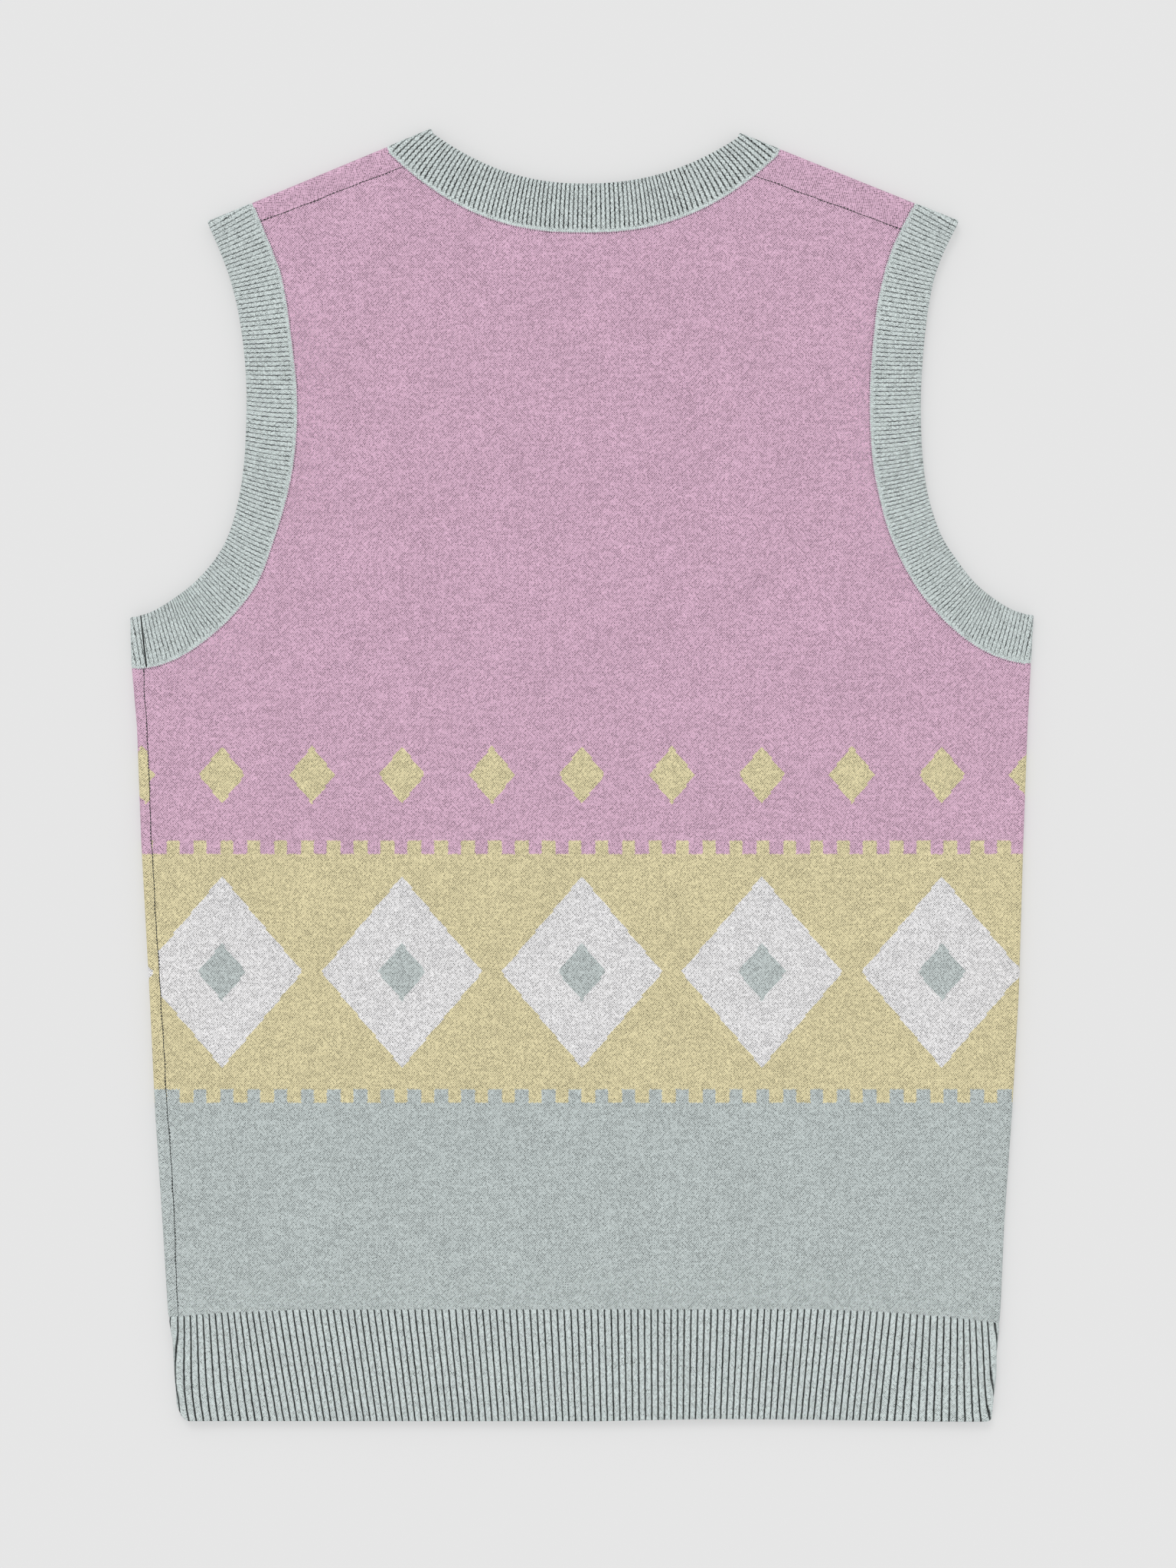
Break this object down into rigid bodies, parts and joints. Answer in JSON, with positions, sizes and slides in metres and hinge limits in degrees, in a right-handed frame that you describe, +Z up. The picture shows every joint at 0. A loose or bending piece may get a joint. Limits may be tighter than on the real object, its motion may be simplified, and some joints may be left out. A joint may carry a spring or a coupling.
{
  "type": "knitted sweater vest",
  "caption": "Sleeveless knitted vest laid flat, back up: body panels, V-neck front, ribbed hem, neckband and armbands, made to cover a torso.",
  "frame": {"origin": "middle of the laid-out vest's outline, on the surface it lies on", "axes": "+X across the vest as seen from above, +Y from the hem towards the neck, +Z up out of the back"},
  "size_m": [0.472, 0.6758, 0.0067],
  "materials": {
    "body_knit": "matt jersey knit, pink above yellow and grey-green",
    "rib_knit": "matt ribbed knit, grey-green"
  },
  "bodies": {
    "root": {"back_panel": "body_knit", "front_panel": "body_knit", "back_hem_rib": "rib_knit", "front_hem_rib": "rib_knit", "neckband": "rib_knit", "armband_left": "rib_knit", "armband_right": "rib_knit"}
  },
  "joints": []
}
